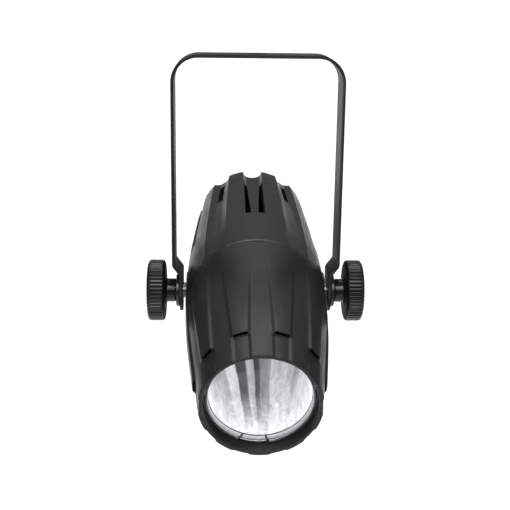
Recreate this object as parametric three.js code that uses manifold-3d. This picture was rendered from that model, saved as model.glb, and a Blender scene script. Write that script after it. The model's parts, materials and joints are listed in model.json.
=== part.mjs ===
// A compact par spotlight: a moulded barrel head that tilts in a strip-steel yoke,
// clamped by a knurled knob on each side. Millimetres, +Z up. The origin is the centre
// of the hanging bolt's hole, on the top face of the yoke's bar. The beam leaves
// towards -Y and the tilt axis runs along X.

import * as THREE from 'three';
import { mergeVertices } from 'three/addons/utils/BufferGeometryUtils.js';
import Module from 'manifold-3d';

const wasm = await Module();
wasm.setup();

// ---------------------------------------------------------------- driving dimensions

const GAP = 0.3; // between touching pieces
const TILT = THREE.MathUtils.degToRad(15); // beam below the horizontal at rest
const PIVOT_DROP = 117; // bar's top face down to the tilt axis

const YOKE = {
  halfWidth: 41.2, // middle of the bar to an arm's outer face
  strip: 20.5, // width of the strip
  thick: 1.5,
  cornerRadius: 13,
  footHalfWidth: 37.6, // an arm's outer face beside the head
  jogTop: 15, // where the inward jog starts, above the tilt axis
  jogBottom: 10.2,
  boltHole: 4.25,
  pivotHole: 3.3,
};

// Stations run along the beam from the tilt axis, positive towards the lens.
const SEAM = 10; // joint between the two shells
const HEAD_FRONT = 93;
const HEAD_REAR = -80;
const WALL = 2.4;

const GILL = {
  count: 10,
  start: SEAM + GAP,
  end: 78.3, // the open front end of each gill
  wideAngle: 11.5, // half width at the seam, in degrees
  narrowAngle: 6.6, // half width at the open end
  wallAngle: 1.5, // a side wall slopes down over this much more
  lowRise: 0.5,
  highRise: 1.05,
  recess: 0.55, // depth of the shallow channel ahead of each gill
  roof: 0.5, // thickness over the open end
  ventHalfWidth: 3.1,
  ventDepth: 5,
  ventRear: 74.9,
};

const CHANNEL = {
  count: 5,
  width: 10,
  frontStation: -20,
  frontFloor: 31.2, // radius of the floor at its front end
  rearFloor: 24.6,
  slotOuter: 4.6, // each slot's outer edge, from the channel's middle
  slotFrontWidth: 3, // it narrows to the rear
  slotRearWidth: 1.2,
  slotFront: -21,
  slotRear: -63,
};

const VALLEY = { seamDepth: 0.35, depth: 2.3, slotWidth: 3.2, slotFront: -50, slotRear: -71 };

const LENS = { radius: 23.8, front: 87.4, edge: 2.2, bulge: 3 };
const CLIP = { gapHalf: 7.4, turn: 7 }; // the gap sits 7 degrees to one side of the bottom
const REFLECTOR = { rear: 34, front: 82.8, throat: 6.5, mouth: 21.4, skin: 0.9, skirt: 12.5 };
const OPENING = { mouth: 24.9, seat: 24.2, ledge: 22.6, ledgeStation: 83 };
const TRUNNION = {
  radius: 9.3,
  inner: 26,
  face: 34.4,
  insertRadius: 5,
  insertDepth: 1.6,
  studBore: 3.3,
};
const SPACER_RADIUS = 3.9;
const KNOB = {
  inner: 44.8,
  outer: 53.8,
  radius: 14.9,
  ridges: 48,
  ridgeDepth: 0.55,
  shoulder: 1.9,
  bossRadius: 5.9,
  studRadius: 2.9,
  studTip: 27.5,
};
const WASHER = { radius: 8.1, thick: 1.6 };
const LUG = { count: 3, first: 60, circle: 28, radius: 4.6, bore: 1.3, rear: -4, front: 26 };
const CLEARANCE_HOLE = 1.6; // radius of a hole that a screw's shaft passes through
const THREAD_HOLE = 1.3;
const SINK = { rear: LUG.front + GAP, front: 30.3, radius: 30.6, finCircle: 22.8, finRear: 13, fins: 9 };
const LED = { boardRadius: 10, rear: 30.6, front: 32.2, screwCircle: 7.6, screwFirst: 30 };
const WIRE = { hole: 14, side: 2.5, radius: 0.75 };
const COVER = { radius: 22.7, rear: -79.7, front: -77, screws: 4, screwFirst: 45, screwCircle: 19.8 };
const BOARD = { width: 36, rear: -68, front: -16, bottom: -5.4, thick: 1.6 };
const BRACKET = {
  halfWidth: 12,
  top: -9.4,
  thick: 1.2,
  rear: -76.4,
  front: -12,
  footHalf: 7.5,
  footBottom: -14.8,
};
const FOOT_SCREWS = { x: [-4.6, 4.6], y: -12.6 };
const GLAND = {
  thread: 6,
  hex: 8.2,
  bore: 4,
  neck: 5.6,
  flangeRear: -84,
  neckRear: -88,
  stemFront: -71,
  capRear: -93,
  capWall: 2,
  capRadius: 7.6,
  sealBore: 3.6,
  sealRadius: 5.4,
  nut: 8.6,
  nutRear: -76.4,
  nutFront: -73,
};

// ---------------------------------------------------------------- materials

function finish(color, roughness, metalness) {
  return { color, roughness, metalness };
}

const FINISH = {
  shell: finish(0x1c1c1e, 0.45, 0.0),
  knob: finish(0x141415, 0.4, 0.0),
  yoke: finish(0x202022, 0.35, 0.3),
  rubber: finish(0x0d0d0d, 0.9, 0.0),
  blackSteel: finish(0x1a1a1a, 0.35, 0.6),
  steel: finish(0xb8bcc2, 0.3, 1.0),
  brass: finish(0xc09a4a, 0.35, 1.0),
  aluminium: finish(0xc6c9cc, 0.35, 1.0),
  mirror: finish(0xe4e6e8, 0.1, 1.0),
  glass: finish(0xe8eef2, 0.05, 0.0),
  whiteBoard: finish(0xe9e9e4, 0.5, 0.0),
  greenBoard: finish(0x1f5a34, 0.5, 0.0),
  emitter: finish(0xf0d860, 0.4, 0.0),
  component: finish(0x202428, 0.5, 0.0),
  core: finish(0xb98d2f, 0.6, 0.0),
  terminal: finish(0x2d6f3c, 0.5, 0.0),
  red: finish(0xa62020, 0.5, 0.0),
  black: finish(0x151515, 0.5, 0.0),
};

// ---------------------------------------------------------------- solid helpers

function toSolid(geometry) {
  const bare = geometry.clone();
  bare.deleteAttribute('normal');
  bare.deleteAttribute('uv');
  const merged = mergeVertices(bare, 1e-4);
  return new wasm.Manifold(new wasm.Mesh({
    numProp: 3,
    vertProperties: new Float32Array(merged.attributes.position.array),
    triVerts: new Uint32Array(merged.index.array),
  }));
}

function toGeometry(solid) {
  const mesh = solid.getMesh();
  const geometry = new THREE.BufferGeometry();
  geometry.setAttribute('position', new THREE.BufferAttribute(mesh.vertProperties, 3));
  geometry.setIndex(new THREE.BufferAttribute(mesh.triVerts, 1));
  geometry.computeVertexNormals();
  return geometry;
}

function cut(base, tools) {
  return toGeometry(tools.reduce((solid, tool) => solid.subtract(toSolid(tool)), toSolid(base)));
}

function join(pieces) {
  return toGeometry(pieces.map(toSolid).reduce((solid, piece) => solid.add(piece)));
}

function box(x0, x1, y0, y1, z0, z1) {
  const geometry = new THREE.BoxGeometry(x1 - x0, y1 - y0, z1 - z0);
  return geometry.translate((x0 + x1) / 2, (y0 + y1) / 2, (z0 + z1) / 2);
}

// A profile of [radius, station] pairs turned about Z; closed ones run outside first,
// with the station rising.
function turned(profile, segments = 40) {
  const points = profile.map(([radius, station]) => new THREE.Vector2(radius, station));
  return new THREE.LatheGeometry(points, segments, Math.PI).rotateX(Math.PI / 2);
}

function rod(radius, z0, z1, segments = 16) {
  return turned([[0, z0], [radius, z0], [radius, z1], [0, z1]], segments);
}

function collar(outer, inner, z0, z1, segments = 40) {
  return turned([[outer, z0], [outer, z1], [inner, z1], [inner, z0], [outer, z0]], segments);
}

// Moves a shape made along Z to lie along X, starting side: 1 for +X, -1 for -X.
function alongX(geometry, side) {
  return geometry.rotateY(side * Math.PI / 2);
}

// Places a shape made at the top of the barrel at an angle round the beam axis.
function around(geometry, degrees) {
  return geometry.rotateZ(-THREE.MathUtils.degToRad(degrees));
}

function interpolate(table, station) {
  const last = table.length - 1;
  const next = table.findIndex(([start]) => start >= station);
  if (next === 0) return table[0][1];
  if (next < 0) return table[last][1];
  const [s0, r0] = table[next - 1];
  const [s1, r1] = table[next];
  return THREE.MathUtils.mapLinear(station, s0, s1, r0, r1);
}

// ---------------------------------------------------------------- shells

// A turned shell whose outer skin is moved in or out, column by column.
function reliefShell(outer, inner, columns, place) {
  const profile = [...outer, ...inner, outer[0]];
  const points = profile.map(([radius, station]) => new THREE.Vector2(radius, station));
  const geometry = new THREE.LatheGeometry(points, columns.length);
  const position = geometry.attributes.position;
  for (let i = 0; i <= columns.length; i++) {
    const column = columns[i % columns.length];
    for (let j = 0; j < profile.length; j++) {
      const [radius, station] = profile[j];
      const onSkin = j < outer.length || j === profile.length - 1;
      const spot = place(column, station, radius, onSkin);
      const angle = THREE.MathUtils.degToRad(180 + spot.angle);
      const x = spot.radius * Math.sin(angle);
      position.setXYZ(i * profile.length + j, x, station, spot.radius * Math.cos(angle));
    }
  }
  return geometry.rotateX(Math.PI / 2);
}

const FRONT_SKIN = [
  [GILL.start, 34.3], [30, 33.5], [46, 32.3], [62, 30.5], [75, 28.9],
  [GILL.end, 28.5], [82, 28.1], [HEAD_FRONT, 26.9],
];

const GILL_COLUMNS = [
  { share: 0, shift: -180 / GILL.count, raised: false },
  { share: -1, shift: -GILL.wallAngle, raised: false },
  { share: -1, shift: 0, raised: true },
  { share: 0, shift: 0, raised: true },
  { share: 1, shift: 0, raised: true },
  { share: 1, shift: GILL.wallAngle, raised: false },
];

function gillHalfAngle(station) {
  const clamped = Math.min(station, GILL.end);
  const { start, end, wideAngle, narrowAngle } = GILL;
  return THREE.MathUtils.mapLinear(clamped, start, end, wideAngle, narrowAngle);
}

function gillRise(station) {
  if (station > GILL.end) return -GILL.recess;
  const { start, end, lowRise, highRise } = GILL;
  return THREE.MathUtils.mapLinear(station, start, end, lowRise, highRise);
}

function frontShell() {
  const lipDrop = 0.4; // length over which a gill's end face falls to its recess
  const stations = [
    GILL.start, 30, 46, 62, 74, GILL.end, GILL.end + lipDrop, HEAD_FRONT,
  ];
  const outer = stations.map((station) => [interpolate(FRONT_SKIN, station), station]);
  const inner = [
    [OPENING.mouth, HEAD_FRONT], [OPENING.seat, OPENING.ledgeStation],
    [OPENING.ledge, OPENING.ledgeStation], [OPENING.ledge, OPENING.ledgeStation - 2],
    [25.2, 78], [29.4, 58], [31.6, 34], [34.3 - WALL, GILL.start],
  ];
  const pitch = 360 / GILL.count;
  const columns = [];
  for (let gill = 0; gill < GILL.count; gill++) {
    for (const column of GILL_COLUMNS) {
      columns.push({ ...column, centre: (gill + 0.5) * pitch });
    }
  }
  const place = (column, station, radius, onSkin) => ({
    angle: column.centre + column.shift + column.share * gillHalfAngle(station),
    radius: onSkin && column.raised ? radius + gillRise(station) : radius,
  });
  const shell = reliefShell(outer, inner, columns, place);
  const lugs = [];
  const lugHoles = [];
  for (let i = 0; i < LUG.count; i++) {
    const angle = LUG.first + (i * 360) / LUG.count;
    const lug = rod(LUG.radius, GILL.start, LUG.front).translate(0, LUG.circle, 0);
    const hole = rod(LUG.bore, GILL.start - 1, LUG.front + 1, 12).translate(0, LUG.circle, 0);
    lugs.push(around(lug, angle));
    lugHoles.push(around(hole, angle));
  }
  const vents = [];
  const { ventHalfWidth: half, ventDepth, ventRear } = GILL;
  for (let gill = 0; gill < GILL.count; gill++) {
    const roof = interpolate(FRONT_SKIN, GILL.end) + GILL.highRise - GILL.roof;
    const vent = box(-half, half, roof - ventDepth, roof, ventRear, GILL.end + lipDrop / 2);
    vents.push(around(vent, (gill + 0.5) * pitch));
  }
  return cut(join([shell, ...lugs]), [...vents, ...lugHoles]);
}

const REAR_SKIN = [
  [HEAD_REAR, 28], [-78.6, 29.1], [-72, 30.1], [-64, 30.9], [-50, 32.1], [-35, 33.3],
  [-20, 34.2], [-5, 34.7], [SEAM, 34.7],
];

// Radii that the slots through the rear shell run between.
const SLOT_BOTTOM = 20;
const SLOT_TOP = 36;

// Angles from a channel's middle to the next, with the share of the valley's full depth.
const REAR_COLUMNS = [
  [0, 0], [13, 0], [26, 0], [32, 1], [40, 1], [46, 0], [59, 0],
];

function valleyDepth(station) {
  return THREE.MathUtils.mapLinear(station, SEAM, HEAD_REAR, VALLEY.seamDepth, VALLEY.depth);
}

// The groove along the barrel, with a rounded bottom that slopes down to the rear.
function channelTool() {
  const { frontStation, frontFloor, rearFloor, width } = CHANNEL;
  const run = frontStation - HEAD_REAR;
  const slope = Math.atan2(frontFloor - rearFloor, run);
  const half = width / 2;
  const top = 20;
  const bend = 2.8; // height of the rounded part of the walls
  const halfOutline = [
    [half * 0.4, 0],
    [half * 0.76, bend * 0.3],
    [half * 0.94, bend * 0.65],
    [half, bend],
    [half, top],
  ];
  const points = [
    ...halfOutline.map(([x, y]) => new THREE.Vector2(x, y)),
    ...halfOutline.map(([x, y]) => new THREE.Vector2(-x, y)).reverse(),
  ];
  const outline = new THREE.Shape(points);
  const tool = new THREE.ExtrudeGeometry(outline, { depth: run + 10, bevelEnabled: false });
  return tool.translate(0, 0, -run - 10).rotateX(-slope).translate(0, frontFloor, frontStation);
}

// A slot through the floor of the channel, beside its wall on the given side.
function channelSlot(side) {
  const { slotOuter, slotFrontWidth, slotRearWidth, slotFront, slotRear } = CHANNEL;
  const outline = new THREE.Shape();
  outline.moveTo(side * slotOuter, -slotRear);
  outline.lineTo(side * slotOuter, -slotFront);
  outline.lineTo(side * (slotOuter - slotFrontWidth), -slotFront);
  outline.lineTo(side * (slotOuter - slotRearWidth), -slotRear);
  const cutter = new THREE.ExtrudeGeometry(outline, { depth: SLOT_TOP - SLOT_BOTTOM, bevelEnabled: false });
  return cutter.rotateX(-Math.PI / 2).translate(0, SLOT_BOTTOM, 0);
}

function rearShell() {
  const stations = [HEAD_REAR, -78.6, -68, -52, -36, -18, SEAM];
  const outer = stations.map((station) => [interpolate(REAR_SKIN, station), station]);
  const inner = [
    [34.7 - WALL, SEAM], [31.6, -8], [28.6, -20], [23, -72], [23, -73.5],
    [17, -73.5], [17, COVER.front + GAP], [23, COVER.front + GAP], [23, HEAD_REAR],
  ];
  const pitch = 360 / CHANNEL.count;
  const columns = [];
  for (let i = 0; i < CHANNEL.count; i++) {
    for (const [offset, depth] of REAR_COLUMNS) {
      columns.push({ angle: i * pitch + offset, depth });
    }
  }
  const place = (column, station, radius, onSkin) => ({
    angle: column.angle,
    radius: onSkin ? radius - column.depth * valleyDepth(station) : radius,
  });
  const pieces = [reliefShell(outer, inner, columns, place)];
  const tools = [];
  for (const side of [-1, 1]) {
    const { radius, inner: back, face, insertRadius, insertDepth, studBore } = TRUNNION;
    pieces.push(alongX(rod(radius, back, face, 36), side));
    tools.push(alongX(rod(insertRadius + GAP, back - 1, face - insertDepth, 24), side));
    tools.push(alongX(rod(studBore, back - 1, face + 1, 24), side));
  }
  for (let i = 0; i < LUG.count; i++) {
    const angle = LUG.first + (i * 360) / LUG.count;
    const hole = rod(CLEARANCE_HOLE, LUG.rear - 1, SEAM + 1, 12).translate(0, LUG.circle, 0);
    pieces.push(around(rod(LUG.radius, LUG.rear, SEAM).translate(0, LUG.circle, 0), angle));
    tools.push(around(hole, angle));
  }
  for (let i = 0; i < CHANNEL.count; i++) {
    tools.push(around(channelTool(), i * pitch));
    for (const side of [-1, 1]) tools.push(around(channelSlot(side), i * pitch));
    const half = VALLEY.slotWidth / 2;
    const slot = box(-half, half, SLOT_BOTTOM, SLOT_TOP, VALLEY.slotRear, VALLEY.slotFront);
    tools.push(around(slot, (i + 0.5) * pitch));
  }
  for (let i = 0; i < COVER.screws; i++) {
    const hole = rod(THREAD_HOLE, COVER.front, -70, 12).translate(0, COVER.screwCircle, 0);
    tools.push(around(hole, COVER.screwFirst + (i * 360) / COVER.screws));
  }
  return cut(join(pieces), tools);
}

function rearCover() {
  const plate = rod(COVER.radius, COVER.rear, COVER.front, 48);
  const holes = [rod(GLAND.thread + GAP, COVER.rear - 1, COVER.front + 1, 24)];
  for (let i = 0; i < COVER.screws; i++) {
    const hole = rod(CLEARANCE_HOLE, COVER.rear - 1, COVER.front + 1, 12);
    const spot = hole.translate(0, COVER.screwCircle, 0);
    holes.push(around(spot, COVER.screwFirst + (i * 360) / COVER.screws));
  }
  for (const x of FOOT_SCREWS.x) {
    const hole = rod(LUG.bore, COVER.rear + 1, COVER.front + 1, 12);
    holes.push(hole.translate(x, FOOT_SCREWS.y, 0));
  }
  return cut(plate, holes);
}

// ---------------------------------------------------------------- fasteners

// A pan-head screw along Z: the head's underside is at `seat`, the shaft ends at `tip`.
function screw(shaft, head, headHeight, seat, tip) {
  const way = Math.sign(seat - tip);
  const z = [tip, seat, seat + way * headHeight];
  const profile = [[0, z[0]], [shaft, z[0]], [shaft, z[1]], [head, z[1]], [head, z[2]], [0, z[2]]];
  return turned(way > 0 ? profile : profile.reverse(), 10);
}

// Copies of a piece spread evenly round the beam axis.
function spread(count, first, circle, make) {
  const pieces = [];
  for (let i = 0; i < count; i++) {
    pieces.push(around(make().translate(0, circle, 0), first + (i * 360) / count));
  }
  return pieces;
}

// ---------------------------------------------------------------- optics and LED

function lens() {
  const back = LENS.front - LENS.edge;
  const profile = [[0, back - LENS.bulge]];
  const steps = 5;
  for (let i = 1; i <= steps; i++) {
    const share = i / steps;
    profile.push([(LENS.radius - 1) * share, back - LENS.bulge * (1 - share * share)]);
  }
  profile.push([LENS.radius, back], [LENS.radius, LENS.front], [0, LENS.front]);
  return turned(profile, 40);
}

// The open wire ring that holds the lens, with its gap at the bottom.
function lensClip() {
  const start = LENS.front + GAP;
  const ring = collar(OPENING.seat - GAP, OPENING.seat - 1.3, start, start + 1, 48);
  const gap = box(-CLIP.gapHalf, CLIP.gapHalf, -30, 0, start - 1, start + 2);
  return cut(ring, [around(gap, CLIP.turn)]);
}

function lensGasket() {
  const front = LENS.front - LENS.edge - GAP;
  return collar(OPENING.seat - GAP, OPENING.ledge, OPENING.ledgeStation + GAP, front);
}

function reflector() {
  const { rear: z0, front: z1, throat, mouth, skin, skirt: out } = REFLECTOR;
  const steps = 5;
  const inside = [];
  for (let i = 0; i <= steps; i++) {
    const share = i / steps;
    inside.push([throat + (mouth - throat) * Math.sqrt(share), z0 + (z1 - z0) * share]);
  }
  const foot = SINK.front + GAP;
  const skirt = [[out - 1.2, z0], [out - 1.2, foot], [out, foot], [out, z0 + 3]];
  const outside = inside.slice(1).map(([radius, station]) => [radius + skin, station]);
  const profile = [...skirt, ...outside, ...inside.reverse(), skirt[0]];
  const notches = [-1, 1].map((side) => box(side * 12 - 3, side * 12 + 3, 0.6, 4.4, 29, 34.6));
  return cut(turned(profile, 32), notches);
}

function heatSink() {
  const pieces = [rod(SINK.radius, SINK.rear, SINK.front, 48)];
  const pitch = (2 * SINK.finCircle - 3) / (SINK.fins - 1);
  for (let i = 0; i < SINK.fins; i++) {
    const y = (i - (SINK.fins - 1) / 2) * pitch;
    const half = Math.sqrt(SINK.finCircle ** 2 - y ** 2);
    pieces.push(box(-half, half, y - 0.8, y + 0.8, SINK.finRear, SINK.rear + 1));
  }
  const through = () => rod(CLEARANCE_HOLE, 20, 40, 12);
  const tools = [-1, 1].map((side) => through().translate(side * WIRE.hole, WIRE.side, 0));
  tools.push(...spread(LUG.count, LUG.first, LUG.circle, through));
  tools.push(...spread(3, LED.screwFirst, LED.screwCircle, () => rod(1.1, 27.5, 40, 12)));
  return cut(join(pieces), tools);
}

function ledBoard() {
  const board = rod(LED.boardRadius, LED.rear, LED.front, 36);
  const hole = () => rod(THREAD_HOLE, LED.rear - 1, LED.front + 1, 12);
  return cut(board, spread(3, LED.screwFirst, LED.screwCircle, hole));
}

function ledEmitter() {
  const top = LED.front + 1.2;
  const base = box(-2.6, 2.6, -2.6, 2.6, LED.front + GAP, top);
  const radius = 2.2;
  const profile = [[0, top - 0.2]];
  for (let i = 0; i <= 5; i++) {
    const angle = (i * Math.PI) / 10;
    profile.push([radius * Math.cos(angle), top + radius * Math.sin(angle)]);
  }
  return join([base, turned(profile, 20)]);
}

// A wire from the driver board to the LED board, down the chosen side.
function ledWire(side) {
  const route = new THREE.CatmullRomCurve3([
    new THREE.Vector3(side * 5, -2.4, BOARD.front - 2),
    new THREE.Vector3(side * 5, 0, -10),
    new THREE.Vector3(side * 12, WIRE.side, 2),
    new THREE.Vector3(side * WIRE.hole, WIRE.side, 12),
    new THREE.Vector3(side * WIRE.hole, WIRE.side, 31),
    new THREE.Vector3(side * 12.4, WIRE.side, 32.9),
    new THREE.Vector3(side * 9.4, WIRE.side, 33.1),
  ]);
  const section = new THREE.Shape().absarc(0, 0, WIRE.radius, 0, 2 * Math.PI);
  return new THREE.ExtrudeGeometry(section, { extrudePath: route, steps: 18, curveSegments: 4 });
}

// ---------------------------------------------------------------- driver electronics

function bracket() {
  const { halfWidth, top, thick, rear, front, footHalf, footBottom } = BRACKET;
  const plate = box(-halfWidth, halfWidth, top - thick, top, rear, front);
  const foot = box(-footHalf, footHalf, footBottom, top, rear, rear + thick);
  const holes = FOOT_SCREWS.x.map((x) => {
    return rod(1.5, rear - 1, rear + thick + 1, 12).translate(x, FOOT_SCREWS.y, 0);
  });
  for (const [x, z] of standoffSpots()) {
    holes.push(rod(1.4, -1, 3, 12).rotateX(-Math.PI / 2).translate(x, top - thick, z));
  }
  return cut(join([plate, foot]), holes);
}

function bracketScrews() {
  const seat = BRACKET.rear + BRACKET.thick + GAP;
  return FOOT_SCREWS.x.map((x) => {
    return screw(1.0, 2, 1.4, seat, COVER.rear + 1.3).translate(x, FOOT_SCREWS.y, 0);
  });
}

function standoffSpots() {
  const inset = 5;
  const spots = [];
  for (const x of [-9, 9]) {
    for (const z of [BOARD.rear + inset, BOARD.front - inset]) spots.push([x, z]);
  }
  return spots;
}

function standoffs() {
  const height = BOARD.bottom - BRACKET.top - 2 * GAP;
  return standoffSpots().map(([x, z]) => {
    const post = collar(2.6, THREAD_HOLE, 0, height, 12).rotateX(-Math.PI / 2);
    return post.translate(x, BRACKET.top + GAP, z);
  });
}

function boardScrews() {
  const top = BOARD.bottom + BOARD.thick + GAP;
  return standoffSpots().map(([x, z]) => {
    const piece = screw(1.0, 2.2, 1.4, top, BRACKET.top - 1.5);
    return piece.rotateX(-Math.PI / 2).translate(x, 0, z);
  });
}

function driverBoard() {
  const half = BOARD.width / 2;
  const top = BOARD.bottom + BOARD.thick;
  const plate = box(-half, half, BOARD.bottom, top, BOARD.rear, BOARD.front);
  const holes = standoffSpots().map(([x, z]) => {
    return rod(THREAD_HOLE, -1, 4, 12).rotateX(-Math.PI / 2).translate(x, BOARD.bottom, z);
  });
  return cut(plate, holes);
}

const BOARD_TOP = BOARD.bottom + BOARD.thick + GAP;

function transformer() {
  const core = box(-8, 8, BOARD_TOP, BOARD_TOP + 13, -50, -35);
  const bobbin = box(-5.5, 5.5, BOARD_TOP + 2, BOARD_TOP + 11, -53, -32);
  return join([core, bobbin]);
}

function capacitor() {
  return rod(4.6, 0, 14, 24).rotateX(-Math.PI / 2).translate(11.5, BOARD_TOP, -27.5);
}

function regulator() {
  const tab = box(-15.5, -14.5, BOARD_TOP, BOARD_TOP + 12, -36, -27);
  const body = box(-14.5, -11.5, BOARD_TOP, BOARD_TOP + 8, -36, -27);
  return join([tab, body]);
}

function terminalBlock() {
  const body = box(-6, 6, BOARD_TOP, BOARD_TOP + 8, -66, -58.5);
  const mouths = [-3, 3].map((x) => rod(1.6, -67, -61, 12).translate(x, BOARD_TOP + 3, 0));
  return cut(body, mouths);
}

// ---------------------------------------------------------------- cord entry

function glandBody() {
  const { thread, hex, bore, neck, flangeRear, neckRear, stemFront } = GLAND;
  const flange = rod(hex, flangeRear, COVER.rear - GAP, 6);
  const stem = rod(thread, flangeRear, stemFront, 24);
  const collarNeck = rod(neck, neckRear, flangeRear + 1, 24);
  return cut(join([flange, stem, collarNeck]), [rod(bore, neckRear - 1, stemFront + 1, 24)]);
}

function glandCap() {
  const { bore, neck, flangeRear, capRear, capWall, capRadius } = GLAND;
  const front = flangeRear - GAP;
  const dome = turned([[0, capRear], [capRadius - 2.4, capRear], [capRadius - 1, capRear + 1.6],
    [capRadius, capRear + 4.4], [capRadius, front], [0, front]], 24);
  const hollow = rod(neck + GAP, capRear + capWall, front + 1, 24);
  return cut(dome, [hollow, rod(bore, capRear - 1, front, 24)]);
}

function glandSeal() {
  const { sealRadius, sealBore, neckRear, capRear, capWall } = GLAND;
  return collar(sealRadius, sealBore, capRear + capWall + GAP, neckRear - GAP, 24);
}

function glandNut() {
  const { nut, nutRear, nutFront, thread } = GLAND;
  return cut(rod(nut, nutRear, nutFront, 6), [rod(thread + GAP, nutRear - 1, nutFront + 1, 24)]);
}

// ---------------------------------------------------------------- clamp knobs

function knurledRim() {
  const outline = new THREE.Shape();
  const crest = KNOB.radius - KNOB.shoulder;
  const step = Math.PI / KNOB.ridges;
  for (let i = 0; i < 2 * KNOB.ridges; i++) {
    const radius = i % 2 === 0 ? crest : crest - KNOB.ridgeDepth;
    const x = radius * Math.cos(i * step);
    const y = radius * Math.sin(i * step);
    if (i === 0) outline.moveTo(x, y);
    else outline.lineTo(x, y);
  }
  outline.closePath();
  const depth = KNOB.outer - KNOB.inner - 2 * KNOB.shoulder;
  const rim = new THREE.ExtrudeGeometry(outline, {
    depth,
    steps: 1,
    bevelEnabled: true,
    bevelThickness: KNOB.shoulder,
    bevelSize: KNOB.shoulder,
    bevelSegments: 2,
  });
  return rim.translate(0, 0, KNOB.inner + KNOB.shoulder);
}

function knob(side) {
  const bossStart = YOKE.footHalfWidth + WASHER.thick + 2 * GAP;
  const boss = rod(KNOB.bossRadius, bossStart, KNOB.inner + 1, 32);
  const socket = rod(KNOB.studRadius + GAP, bossStart - 1, KNOB.inner + 4 + GAP, 20);
  return alongX(cut(join([knurledRim(), boss]), [socket]), side);
}

function knobStud(side) {
  return alongX(rod(KNOB.studRadius, KNOB.studTip, KNOB.inner + 4, 20), side);
}

function washer(side) {
  const start = YOKE.footHalfWidth + GAP;
  return alongX(collar(WASHER.radius, YOKE.pivotHole, start, start + WASHER.thick, 32), side);
}

function spacer(side) {
  const armInside = YOKE.footHalfWidth - YOKE.thick;
  const sleeve = collar(SPACER_RADIUS, YOKE.pivotHole, TRUNNION.face + GAP, armInside - GAP, 24);
  return alongX(sleeve, side);
}

function trunnionInsert(side) {
  const { inner, face, insertRadius, insertDepth, studBore } = TRUNNION;
  return alongX(collar(insertRadius, studBore, inner, face - insertDepth - GAP, 24), side);
}

// ---------------------------------------------------------------- yoke

// The strip's outer edge, or its inner edge with inset as the thickness, one arm only:
// from the middle of the bar, round the corner, past the jog and down to the foot.
function armEdge(inset) {
  const pivot = -PIVOT_DROP;
  const x = YOKE.halfWidth - inset;
  const foot = YOKE.footHalfWidth - inset;
  const radius = YOKE.cornerRadius - inset;
  const points = [];
  const corner = new THREE.Path().absarc(x - radius, -YOKE.cornerRadius, radius, Math.PI / 2, 0, true);
  points.push(...corner.getPoints(8));
  points.push(new THREE.Vector2(x, pivot + YOKE.jogTop));
  points.push(new THREE.Vector2(foot, pivot + YOKE.jogBottom));
  points.push(new THREE.Vector2(foot, pivot - YOKE.strip / 2));
  return points;
}

function yokeBracket() {
  const mirrored = (points) => points.map((p) => new THREE.Vector2(-p.x, p.y)).reverse();
  const outside = armEdge(0);
  const inside = armEdge(YOKE.thick);
  const outline = [...outside, ...inside.reverse(), ...mirrored(inside), ...mirrored(outside)];
  const half = YOKE.strip / 2;
  const strip = new THREE.ExtrudeGeometry(new THREE.Shape(outline), {
    depth: YOKE.strip,
    bevelEnabled: false,
  });
  strip.rotateX(Math.PI / 2).translate(0, half, 0);
  const silhouette = new THREE.Shape();
  silhouette.moveTo(-half, 1);
  silhouette.lineTo(-half, -PIVOT_DROP);
  silhouette.absarc(0, -PIVOT_DROP, half, Math.PI, 2 * Math.PI, false);
  silhouette.lineTo(half, 1);
  const side = new THREE.ExtrudeGeometry(silhouette, {
    depth: 2 * YOKE.halfWidth + 2,
    curveSegments: 24,
    bevelEnabled: false,
  });
  side.translate(0, 0, -YOKE.halfWidth - 1).rotateX(Math.PI / 2).rotateZ(Math.PI / 2);
  const pivotHoles = new THREE.CylinderGeometry(YOKE.pivotHole, YOKE.pivotHole, 100, 24);
  pivotHoles.rotateZ(Math.PI / 2).translate(0, 0, -PIVOT_DROP);
  const boltHole = new THREE.CylinderGeometry(YOKE.boltHole, YOKE.boltHole, 6, 32);
  const solid = toSolid(strip).intersect(toSolid(side)).subtract(toSolid(pivotHoles));
  return toGeometry(solid.subtract(toSolid(boltHole.rotateX(Math.PI / 2))));
}

// ---------------------------------------------------------------- assembly

const light = new THREE.Group();
const head = new THREE.Group();
head.position.z = -PIVOT_DROP;
head.rotation.x = Math.PI / 2 + TILT;
light.add(head);

function add(group, name, geometry, look) {
  const mesh = new THREE.Mesh(geometry, new THREE.MeshStandardMaterial(look));
  mesh.name = name;
  group.add(mesh);
}

// Numbered copies: NAME_1, NAME_2 and so on.
function addEach(group, name, geometries, look) {
  geometries.forEach((geometry, i) => add(group, `${name}_${i + 1}`, geometry, look));
}

add(light, 'yoke_bracket', yokeBracket(), FINISH.yoke);

add(head, 'front_shell', frontShell(), FINISH.shell);
add(head, 'rear_shell', rearShell(), FINISH.shell);
add(head, 'rear_cover', rearCover(), FINISH.shell);
addEach(head, 'shell_screw', spread(LUG.count, LUG.first, LUG.circle,
  () => screw(1.0, 2.8, 2, LUG.rear - GAP, 18)), FINISH.steel);
addEach(head, 'rear_cover_screw', spread(COVER.screws, COVER.screwFirst, COVER.screwCircle,
  () => screw(1.0, 2.6, 1.8, COVER.rear - GAP, -72)), FINISH.blackSteel);

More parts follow.
